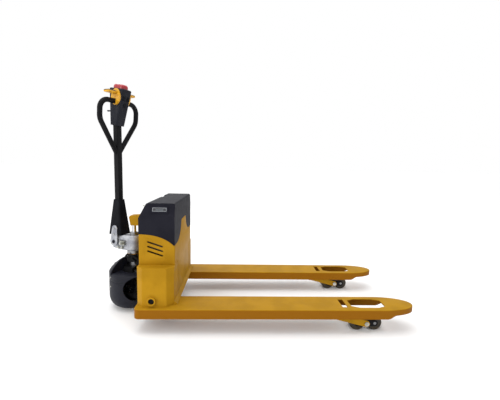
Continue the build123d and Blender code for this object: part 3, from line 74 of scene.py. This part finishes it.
bpy.context.scene.camera = camera


# ------------------------------------------------------------------ studio
# A pale matt floor in a white surround that is brighter on the driver's side. A broad soft lamp hangs
# overhead, one stands ahead on the driver's side and a weak one behind, so the load face lies in half
# shade.
class Shade:
    """A socket of a node tree. Arithmetic on it adds Math nodes."""

    def __init__(self, tree, socket=None):
        self.tree = tree
        self.socket = socket

    def node(self, kind, settings=None, out=0, stops=None, **sockets):
        """Adds one node: its settings and a ramp's stops first, then values or links by socket name.
        A socket named i and a number is that input by its place."""
        made = self.tree.nodes.new(kind)
        for key, value in (settings or {}).items():
            setattr(made, key, value)
        if stops:
            elements = made.color_ramp.elements
            while len(elements) < len(stops):
                elements.new(0.5)
            for element, (place, colour) in zip(elements, stops):
                element.position = place
                element.color = colour
        for key, value in sockets.items():
            by_place = key[0] == "i" and key[1:].isdigit()
            target = made.inputs[int(key[1:]) if by_place else key.replace("_", " ")]
            if isinstance(value, Shade):
                self.tree.links.new(value.socket, target)
            else:
                target.default_value = value
        return Shade(self.tree, made.outputs[out])

    def _maths(self, operation, a, b):
        return self.node("ShaderNodeMath", {"operation": operation}, i0=a, i1=b)

    def __add__(self, other):
        return self._maths("ADD", self, other)

    def __radd__(self, other):
        return self._maths("ADD", other, self)

    def __sub__(self, other):
        return self._maths("SUBTRACT", self, other)

    def __rsub__(self, other):
        return self._maths("SUBTRACT", other, self)

    def __mul__(self, other):
        return self._maths("MULTIPLY", self, other)

    def __rmul__(self, other):
        return self._maths("MULTIPLY", other, self)

    def ramp(self, low, high, to_low=0.0, to_high=1.0):
        """Maps low..high smoothly to to_low..to_high."""
        return self.node(
            "ShaderNodeMapRange",
            {"interpolation_type": "SMOOTHSTEP"},
            Value=self,
            From_Min=low,
            From_Max=high,
            To_Min=to_low,
            To_Max=to_high,
        )

    def blend(self, first, second):
        """The colour first where this is 0 and second where it is 1."""
        return self.node("ShaderNodeMix", {"data_type": "RGBA"}, 2, i0=self, i6=first, i7=second)


def linear(red, green, blue):
    """A colour of 0 to 255 a channel, as the linear colour that a shader takes."""
    parts = []
    for value in (red / 255, green / 255, blue / 255):
        parts.append(value / 12.92 if value <= 0.04045 else ((value + 0.055) / 1.055) ** 2.4)
    return (*parts, 1.0)


floor_half = 40.0
floor_mesh = bpy.data.meshes.new("floor")
corners = ((-1, -1), (1, -1), (1, 1), (-1, 1))
floor_mesh.from_pydata([(x * floor_half, y * floor_half, 0) for x, y in corners], [], [(0, 1, 2, 3)])
floor = bpy.data.objects.new("floor", floor_mesh)
bpy.context.scene.collection.objects.link(floor)
floor_paint = bpy.data.materials.new("floor_paint")
floor_paint.use_nodes = True
floor_shader = floor_paint.node_tree.nodes["Principled BSDF"]
floor_shader.inputs["Base Color"].default_value = (0.97, 0.97, 0.97, 1)
floor_shader.inputs["Roughness"].default_value = 1.0
floor_shader.inputs["Specular IOR Level"].default_value = 0.0
floor_mesh.materials.append(floor_paint)

surround = bpy.data.worlds.new("surround")
surround.use_nodes = True
surround.node_tree.nodes.clear()
sky = Shade(surround.node_tree)
to_lens = sky.node("ShaderNodeLightPath")
towards = sky.node("ShaderNodeTexCoord", out=0)
side = sky.node("ShaderNodeSeparateXYZ", out=0, Vector=towards)
room = sky.node("ShaderNodeBackground", Color=(1, 1, 1, 1), Strength=side.ramp(-0.6, 0.9, 1.3, 0.72))
backdrop = sky.node("ShaderNodeBackground", Color=(1, 1, 1, 1), Strength=1.0)
both = sky.node("ShaderNodeMixShader", i0=to_lens, i1=room, i2=backdrop)
world_out = surround.node_tree.nodes.new("ShaderNodeOutputWorld")
surround.node_tree.links.new(both.socket, world_out.inputs["Surface"])
bpy.context.scene.world = surround
bpy.context.scene.view_settings.view_transform = "Standard"


def lamp(name, place, target, size, watts):
    """A square soft lamp at place that shines towards target."""
    light = bpy.data.lights.new(name, "AREA")
    light.shape = "SQUARE"
    light.size = size
    light.energy = watts
    made = bpy.data.objects.new(name, light)
    made.location = place
    made.rotation_euler = (Vector(target) - Vector(place)).to_track_quat("-Z", "Y").to_euler()
    bpy.context.scene.collection.objects.link(made)


lamp("overhead", (-0.6, -0.3, 3.4), (0, 0, 0.1), 2.4, 34)
lamp("front_left", (-2.6, -3.2, 1.7), (-0.3, 0, 0.4), 1.8, 30)
lamp("rear_rim", (-1.2, 3.0, 2.6), (-0.4, 0, 0.6), 1.6, 12)


# ------------------------------------------------------------------ painted steel
# Forks, shoulders, battery box, ledge and lift bracket are welded sheet steel, powder coated yellow.
# The coat has a faint orange peel. Down the forks' skirts it turns to a deeper orange, which is painted
# shade on their sides.
def surface(name, base, rough, metallic=0.0, bump=None, shine=0.5, coat=0.0):
    """A principled material. base and rough are values, or functions of the tree's start and its
    object coordinates that give a socket. bump gives (height socket, depth in metres)."""
    material = bpy.data.materials.new(name)
    material.use_nodes = True
    tree = material.node_tree
    shader = tree.nodes["Principled BSDF"]
    start = Shade(tree)
    place = start.node("ShaderNodeTexCoord", out=3)
    for socket, value in (("Base Color", base), ("Roughness", rough), ("Metallic", metallic)):
        value = value(start, place) if callable(value) else value
        if isinstance(value, Shade):
            tree.links.new(value.socket, shader.inputs[socket])
        else:
            shader.inputs[socket].default_value = value
    shader.inputs["Specular IOR Level"].default_value = shine
    shader.inputs["Coat Weight"].default_value = coat
    shader.inputs["Coat Roughness"].default_value = 0.15
    if bump:
        height, depth = bump(start, place)
        rise = start.node("ShaderNodeBump", Height=height, Distance=depth, Strength=1.0)
        tree.links.new(rise.socket, shader.inputs["Normal"])
    return material


def noise(start, place, scale, detail=3.0, roughness=0.5):
    """Fractal noise of this many cells to the metre."""
    return start.node("ShaderNodeTexNoise", Vector=place, Scale=scale, Detail=detail, Roughness=roughness)


def wander(dark, light, scale=9.0):
    """A tone that wanders between two colours over patches of 1 / scale metres."""
    return lambda start, place: noise(start, place, scale, 4).ramp(0.35, 0.65).blend(dark, light)


def patchy(rough, spread=0.16, scale=30.0):
    """A roughness that varies by spread about rough, as handled surfaces do."""
    return lambda start, place: noise(start, place, scale, 4) * spread + (rough - spread / 2)


def grain(scale, depth):
    """Fine dimples: this many to the metre, and this deep."""
    return lambda start, place: (noise(start, place, scale, 2), depth)


def dress(name, material, edge=0.0, sharp=32):
    """Gives a CAD node its material, and shades it smooth between its sharp edges, which are rounded
    to this radius where it isn't 0. sharp is the least angle of an edge that stays sharp."""
    node = nodes[name]
    node.data.materials.clear()
    node.data.materials.append(material)
    node.data.polygons.foreach_set("use_smooth", np.ones(len(node.data.polygons), bool))
    weld = node.modifiers.new("weld", "WELD")
    weld.merge_threshold = 1e-5
    if edge:
        flat = node.modifiers.new("flat", "DECIMATE")
        flat.decimate_type = "DISSOLVE"
        flat.angle_limit = math.radians(1)
        rounded = node.modifiers.new("rounded", "BEVEL")
        rounded.width = edge
        rounded.segments = 2
        rounded.limit_method = "ANGLE"
        rounded.angle_limit = math.radians(40)
        rounded.harden_normals = True
    split = node.modifiers.new("split", "EDGE_SPLIT")
    split.split_angle = math.radians(sharp)


deep_yellow = linear(160, 118, 20)
bright_yellow = linear(172, 128, 24)
# painted shade: the deeper orange of the forks' skirts stands in for the shade on their sides
skirt_painted_shade = linear(138, 88, 12)
fork_top = 0.12
bend = 0.0035  # from the fork's top down to where its sheet has turned upright


def fork_tone_and_shade(start, place):
    """The same yellow, turning to a deeper orange below the forks' bent edge: painted shade on the skirts'
    sides.
    """
    height = start.node("ShaderNodeSeparateXYZ", out=2, Vector=place)
    top_tone = wander(deep_yellow, bright_yellow)(start, place)
    return height.ramp(fork_top - bend, fork_top - 0.0005).blend(skirt_painted_shade, top_tone)


orange_peel = grain(320, 0.000015)
yellow_paint = surface(
    "yellow_paint", wander(deep_yellow, bright_yellow), patchy(0.5), bump=orange_peel, shine=0.05
)
fork_paint_and_shade = surface("fork_paint_and_shade", fork_tone_and_shade, patchy(0.5), bump=orange_peel, shine=0.05)
for name in ("left_fork", "right_fork"):
    dress(name, fork_paint_and_shade)
for name in ("left_shoulder", "right_shoulder", "load_ledge", "left_roller_arm", "right_roller_arm"):
    dress(name, yellow_paint)
for name in ("battery_box", "lift_bracket"):
    dress(name, yellow_paint, edge=0.0012)

# ------------------------------------------------------------------ dark paint, with painted shade on the thrust collar
# The crank, bogies, wheel yoke, motors, tiller tube and its handle loops are welded or turned steel,
# painted satin black. The thrust collar is bright steel; its black here is painted shade for the dark gap
# round it.
dark_paint = surface(
    "dark_paint",
    wander(linear(15, 15, 17), linear(21, 21, 23), 14),
    patchy(0.5),
    bump=grain(900, 0.00002),
    shine=0.1,
)
for name in (
    "bell_crank",
    "left_bogie",
    "right_bogie",
    "wheel_yoke",
    # painted shade: the steel thrust collar is given the black paint so that the gap round it looks dark
    "thrust_collar",
    "drive_motor",
    "pump_motor",
    "tiller_shaft",
    "left_loop",
    "right_loop",
):
    dress(name, dark_paint)

# ------------------------------------------------------------------ bright steel, zinc and bronze
# Pins, push rods, axles and the lift cylinder are machined steel, screws and fittings are zinc plated,
# the ram is hard chromed and the thrust washer is bronze. Turning marks show as a fine grain.
machined = surface(
    "machined",
    wander(linear(120, 120, 122), linear(150, 150, 152), 20),
    patchy(0.34),
    metallic=1.0,
    bump=grain(700, 0.00001),
)
zinc_plate = surface(
    "zinc_plate",
    wander(linear(160, 160, 150), linear(190, 190, 184), 40),
    patchy(0.32),
    metallic=1.0,
    bump=grain(900, 0.000008),
)
hard_chrome = surface("hard_chrome", linear(205, 206, 210), patchy(0.12, 0.04), metallic=1.0)
bronze = surface(
    "bronze", wander(linear(150, 112, 60), linear(176, 136, 76), 30), patchy(0.38), metallic=1.0
)
for name in (
    "arm_pivot_pins",
    "crank_pins",
    "left_push_rod",
    "right_push_rod",
    "left_roller_axles",
    "right_roller_axles",
    "lift_cylinder",
    "wheel_axle",
    "tiller_hinge_pin",
    "cylinder_gland",
):
    dress(name, machined)
for name in (
    "shroud_screws",
    "hydraulic_fittings",
    "left_bogie_bolts",
    "right_bogie_bolts",
    "ignition_key",
):
    dress(name, zinc_plate)
dress("piston_rod", hard_chrome)
dress("thrust_washer", bronze)

# ------------------------------------------------------------------ pump casting
# The clamp round the cylinder is a sand casting in aluminium alloy, with the grain of its mould left
# on. The oil pump, its valve and the tiller's hinge are all carried on it.
cast_skin = surface(
    "cast_skin",
    wander(linear(140, 142, 150), linear(186, 188, 192), 26),
    patchy(0.5, 0.2, 80),
    metallic=0.6,
    bump=grain(420, 0.00012),
)
dress("pump_casting", cast_skin, edge=0.0015)

# ------------------------------------------------------------------ mouldings
# The hood, the gauge's frame and the control head are moulded in dark plastic with a fine
# spark-eroded texture. The head's edges are well rounded for the hand.
hood_plastic = surface(
    "hood_plastic",
    wander(linear(25, 25, 33), linear(31, 31, 39), 10),
    patchy(0.6),
    bump=grain(1500, 0.00003),
    shine=0.06,
)
dress("hood", hood_plastic, edge=0.002, sharp=12)
for name in ("gauge_frame", "key_switch", "hood_screws"):
    dress(name, hood_plastic)
shroud_plastic = surface(
    "shroud_plastic",
    wander(linear(20, 21, 29), linear(27, 28, 37), 12),
    patchy(0.52),
    bump=grain(1200, 0.00004),
    shine=0.16,
)
dress("control_head", shroud_plastic, edge=0.004, sharp=40)
dress("finger_lever", shroud_plastic)


# ------------------------------------------------------------------ drive cover
# A moulded guard stands round the driver's side of the wheel: an upright wall whose foot curls in above
# the floor, a sloped dome over the gearbox with a flat back, and a level roof behind it. An arch on each
# side bares the wheel. It is screwed to the wheel's yoke and steers with it.
steer_at = np.array(joints["steer"]["pos_m"])
along_y = -np.array(joints["tiller_tilt"]["axis"])
along_x = np.array([along_y[1], -along_y[0], 0.0])


def steered(local):
    """Points of the steering frame in millimetres, x towards the load and y to the left, as places in
    metres: the axis's place, plus x and y along the frame's own directions, plus z upwards."""
    local = np.asarray(local, float) / 1000
    flat = steer_at * (1, 1, 0)
    return flat + local[..., :1] * along_x + local[..., 1:2] * along_y + local[..., 2:] * (0, 0, 1)


def grid_faces(rows, columns):
    """Quads between the neighbours of a rows by columns grid."""
    row, column = np.meshgrid(np.arange(rows - 1), np.arange(columns - 1), indexing="ij")
    here, there = row * columns + column, (row + 1) * columns + column
    return np.stack((here, here + 1, there + 1, there), -1).reshape(-1, 4).tolist()


def piece(name, points, faces, material, body):
    """A mesh of these places and faces, smooth shaded, that rides on a body. Points that fall
    together are merged, which removes the faces that they leave without an area."""
    mesh = bpy.data.meshes.new(name)
    mesh.from_pydata(np.asarray(points).reshape(-1, 3).tolist(), [], faces)
    whole = bmesh.new()
    whole.from_mesh(mesh)
    bmesh.ops.remove_doubles(whole, verts=whole.verts, dist=1e-5)
    bmesh.ops.recalc_face_normals(whole, faces=whole.faces)
    whole.to_mesh(mesh)
    whole.free()
    mesh.polygons.foreach_set("use_smooth", np.ones(len(mesh.polygons), bool))
    mesh.materials.append(material)
    made = bpy.data.objects.new(name, mesh)
    bpy.context.scene.collection.objects.link(made)
    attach(made, body)
    return made


cover_wall = 4.0
cover_radius = 130.0  # to the middle of the wall, so that the screws' heads stand on its outside
cover_low, foot_curl, foot_rise = 17.0, 36.0, 62.0
wall_top, roof_z, roof_radius, roof_middle = 190.0, 196.0, 64.0, 84.0
lip_in, lip_down = 3.0, 2.0  # the small slope between the wall and the roof
dome_back = 52.0  # the dome's flat back stands this far ahead of the axis, clear of the bell crank
dome_shoulder, dome_top, dome_rim, dome_inner, dome_power = 198.0, 264.0, 54.0, 40.0, 1.3
arch_z, arch_half, arch_turn = 128.0, 66.0, 106.0  # the arch's middle, half its height, its deepest turn
cover_turn = 142.0  # degrees from the driver's direction to each end
seam_z, seam_depth, seam_half = 160.0, 2.2, 2.5

# The sweep has two columns at each end of the dome's flat back, where the dome ends in a step.
dome_turn = math.degrees(math.acos(dome_back / cover_radius))
over_dome = np.linspace(0, dome_turn, 33)
over_side = np.linspace(dome_turn + 0.02, cover_turn, 30)
half_sweep = np.concatenate((over_dome, over_side))
turns = np.concatenate((-half_sweep[:0:-1], half_sweep))
sweep = np.radians(turns)
on_dome = np.abs(turns) <= dome_turn
to_back = np.minimum(dome_back / np.maximum(np.cos(sweep), 0.01), cover_radius)
back_r = np.where(on_dome, to_back, cover_radius)


def dome_height(r):
    """A quarter of a superellipse, from the shoulder at the cover's radius to the top at the rim, and
    level inside the rim."""
    out = np.clip((r - dome_rim) / (cover_radius - dome_rim), 0, 1)
    return dome_shoulder + (dome_top - dome_shoulder) * (1 - out**dome_power) ** (1 / dome_power)


def wall_row(z):
    """One level of the wall, as its radius, turns and height. The radius is the cover's, less a
    quarter ellipse at the foot and less a bell-shaped groove at the seam. Beyond the dome's turn the
    turns are scaled down by a half ellipse, so that they end at the arch instead of the cover's end."""
    drop = np.clip((cover_low + foot_rise - z) / foot_rise, 0, 1)
    groove = seam_depth * np.exp(-(((z - seam_z) / seam_half) ** 2))
    radius = cover_radius - foot_curl * (1 - math.sqrt(1 - drop**2)) - groove
    bite = math.sqrt(max(0.0, 1 - ((z - arch_z) / arch_half) ** 2))
    end = cover_turn - (cover_turn - arch_turn) * bite
    size = np.abs(turns)
    beyond = np.clip(size - dome_turn, 0, None) * (end - dome_turn) / (cover_turn - dome_turn)
    return radius, np.radians(np.sign(turns) * (np.minimum(size, dome_turn) + beyond)), z


def dome_row(r):
    """One ring of the dome, at radius r but no nearer than the flat back, and as high as the dome is
    there. Beyond the dome's turn it lies on the lip between the wall and the roof."""
    held = np.maximum(r, back_r)
    radius = np.where(on_dome, held, cover_radius - lip_in)
    return radius, sweep, np.where(on_dome, dome_height(held), roof_z - lip_down)


def roof_row(beside, beyond):
    """One line of the level roof: beside the dome's back no further out than the back, and beyond
    the dome's turn at its own radius."""
    return np.where(on_dome, np.minimum(back_r, beside), beyond), sweep, roof_z


rows = [wall_row(z) for z in np.linspace(cover_low, wall_top, 60)]
rows += [dome_row(cover_radius - (cover_radius - dome_inner) * t**1.5) for t in np.linspace(0, 1, 40)]
rows.append(roof_row(cover_radius, cover_radius - 2 * lip_in))
rows.append(roof_row(roof_middle, roof_middle))
rows.append(roof_row(roof_radius, roof_radius))
spread = [np.broadcast_arrays(*row) for row in rows]
cover_points = [np.stack((-r * np.cos(turn), r * np.sin(turn), z), -1) for r, turn, z in spread]
cover = piece(
    "drive_cover",
    steered(np.array(cover_points)),
    grid_faces(len(rows), len(turns)),
    shroud_plastic,
    "drive_unit",
)
wall = cover.modifiers.new("wall", "SOLIDIFY")
wall.thickness = cover_wall / 1000
wall.offset = 0
creases = cover.modifiers.new("sharp_edges", "EDGE_SPLIT")
creases.split_angle = math.radians(40)
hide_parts("shroud")

# ------------------------------------------------------------------ tiller link
# A cast aluminium link joins the tiller to the right end of its hinge pin. It has a wide eye round the
# pin, a smaller one beside the boot's foot, and a black cap and three screws on its outside.
hinge_at = np.array(joints["tiller_tilt"]["pos_m"])
link_in, link_out, boss_in = -41.5, -46.5, -36.4
eye_radius, ear_radius, ear_place = 25.0, 17.0, (8.0, 74.0)
boss_radius, cap_radius, cap_height = 12.0, 9.5, 2.5
screw_radius, screw_height, screw_low = 4.2, 2.8, (-15.0, -11.0)
sunk = 0.5  # how far each part of the link stands in the next


def hinged(local):
    """Points in millimetres about the tiller's hinge, x towards the load, y to the left and z up, as
    places in metres: the hinge's place plus x, y and z along those directions."""
    local = np.asarray(local, float) / 1000
    return hinge_at + local[..., :1] * along_x + local[..., 1:2] * along_y + local[..., 2:] * (0, 0, 1)


def arc(radius, middle=(0.0, 0.0), start=0.0, end=2 * math.pi, count=33):
    """Points round a circle, at the middle plus the radius times the cosine and sine of the angle."""
    turn = np.linspace(start, end, count)
    return np.stack((middle[0] + radius * np.cos(turn), middle[1] + radius * np.sin(turn)), -1)


def plates(name, outlines, material, edge=0.8):
    """Plates on the tiller, each an outline in x and z drawn out between two places in y, with their
    edges rounded."""
    points, faces = [], []
    for outline, low, high in outlines:
        first, count = len(points), len(outline)
        for y in (low, high):
            points += [(x, y, z) for x, z in outline]
        ring = [(first + i, first + (i + 1) % count) for i in range(count)]
        faces += [(here, after, after + count, here + count) for here, after in ring]
        near, far = range(first, first + count), range(first + count, first + 2 * count)
        faces += [tuple(reversed(near)), tuple(far)]
    made = piece(name, hinged(points), faces, material, "tiller")
    soft = made.modifiers.new("edge", "BEVEL")
    soft.width, soft.segments, soft.limit_method = edge / 1000, 3, "ANGLE"
    soft.harden_normals = True
    return made


span = math.hypot(*ear_place)
aim = math.atan2(ear_place[1], ear_place[0])
tangent = math.acos((eye_radius - ear_radius) / span)
link_outline = np.concatenate(
    (
        arc(ear_radius, ear_place, aim - tangent, aim + tangent),
        arc(eye_radius, (0.0, 0.0), aim + tangent, aim + 2 * math.pi - tangent, 49),
    )
)
boss = arc(boss_radius)[:-1]
plates(
    "tiller_link",
    [(link_outline, link_out, link_in), (boss, link_in - sunk, boss_in)],
    cast_skin,
)
cap = arc(cap_radius)[:-1]
plates("link_cap", [(cap, link_out - cap_height, link_out + sunk)], hood_plastic)
screw_middle = (0.55 * ear_place[0], 0.55 * ear_place[1])
screw_heads = [arc(screw_radius, at, count=7)[:-1] for at in (screw_middle, ear_place, screw_low)]
plates(
    "link_screws",
    [(head, link_out - screw_height, link_out + sunk) for head in screw_heads],
    zinc_plate,
    edge=0.4,
)

# ------------------------------------------------------------------ gauge
# The gauge is a smoked window with a thin pale line near its edge and one dim charge bar.
gauge_low, gauge_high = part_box("gauge_window")
gauge_middle = (gauge_low + gauge_high) / 2
gauge_half = (gauge_high - gauge_low) / 2
line_out, line_in, fade = 0.0016, 0.0030, 0.0002
bar_half, bar_height = 0.0180, 0.0030


def gauge_tone(start, place):
    """Pale where the place lies in the band between two upright rectangles, the inner one 1.4 mm
    smaller all round, and grey inside a bar across the lower half."""
    along = start.node("ShaderNodeSeparateXYZ", out=0, Vector=place) - gauge_middle.x
    height = start.node("ShaderNodeSeparateXYZ", out=2, Vector=place) - gauge_middle.z
    across = start.node("ShaderNodeMath", {"operation": "ABSOLUTE"}, i0=along)
    above = start.node("ShaderNodeMath", {"operation": "ABSOLUTE"}, i0=height)

    def inside(shrink):
        """One inside the window's rectangle less shrink all round, and nothing outside it."""
        wide, tall = gauge_half.x - shrink, gauge_half.z - shrink
        return across.ramp(wide - fade, wide, 1, 0) * above.ramp(tall - fade, tall, 1, 0)

    line = inside(line_out) * (1 - inside(line_in))
    bar = across.ramp(bar_half - fade, bar_half, 1, 0)
    bar = bar * (height + bar_height).ramp(0.0, fade) * height.ramp(0.0, fade, 1, 0)
    glass = bar.blend(linear(14, 16, 22), linear(96, 104, 112))
    return line.blend(glass, linear(150, 154, 160))


dress("gauge_window", surface("gauge_glass", gauge_tone, 0.16, coat=0.5))

# ------------------------------------------------------------------ rubber and tyres
# The boot and the small buttons are black rubber. The drive tyre and the rollers are cast
# polyurethane, scuffed and dusty where they roll.
rubber = surface(
    "rubber",
    wander(linear(14, 15, 19), linear(20, 21, 26), 16),
    patchy(0.6),
    bump=grain(800, 0.00004),
    shine=0.08,
)
dress("tiller_boot", rubber)
for name in ("horn_button", "raise_button", "lower_button"):
    dress(name, rubber)
scuffed = grain(500, 0.00006)
tread = surface("tread", wander(linear(16, 16, 15), linear(30, 28, 25), 40), patchy(0.62), bump=scuffed)
dress("drive_tyre", tread)
hub_paint = surface(
    "hub_paint", wander(linear(26, 26, 27), linear(40, 40, 40), 30), patchy(0.5), 0.2, bump=scuffed
)
dress("drive_hub", hub_paint)
roller_skin = surface(
    "roller_skin", wander(linear(32, 27, 18), linear(58, 48, 30), 45), patchy(0.5), bump=grain(350, 0.00004)
)
for side_name in ("left", "right"):
    for end in ("front", "rear"):
        dress(f"{side_name}_{end}_roller", roller_skin)

# ------------------------------------------------------------------ coloured controls
# The belly button is glossy red plastic. The head's side plates and throttle wings are yellow plastic,
# and the wings carry a black rubber pad on top for the thumb.
signal_red = wander(linear(140, 12, 26), linear(164, 18, 32), 30)
dress("belly_button", surface("red_plastic", signal_red, patchy(0.3, 0.08), coat=0.3))
signal_yellow = wander(linear(206, 150, 34), linear(222, 168, 44), 30)
dress("side_plates", surface("yellow_plastic", signal_yellow, patchy(0.34, 0.08), coat=0.2, shine=0.3))
pad_low = joints["throttle_turn"]["pos_m"][2] + 0.0020
pad_fade = 0.0008


def wing_tone(start, place):
    """Black above the pad's lower edge, and yellow below."""
    height = start.node("ShaderNodeSeparateXYZ", out=2, Vector=place)
    yellow = signal_yellow(start, place)
    return height.ramp(pad_low, pad_low + pad_fade).blend(yellow, linear(20, 20, 22))


dress("throttle", surface("wing_plastic", wing_tone, patchy(0.38, 0.08), shine=0.3))

# ------------------------------------------------------------------ inside the box
# The battery's case and the finned controller stand on the box's floor, out of sight.
battery_case = surface("battery_case", wander(linear(50, 52, 56), linear(64, 66, 70)), patchy(0.5))
for name in ("battery", "controller"):
    dress(name, battery_case)
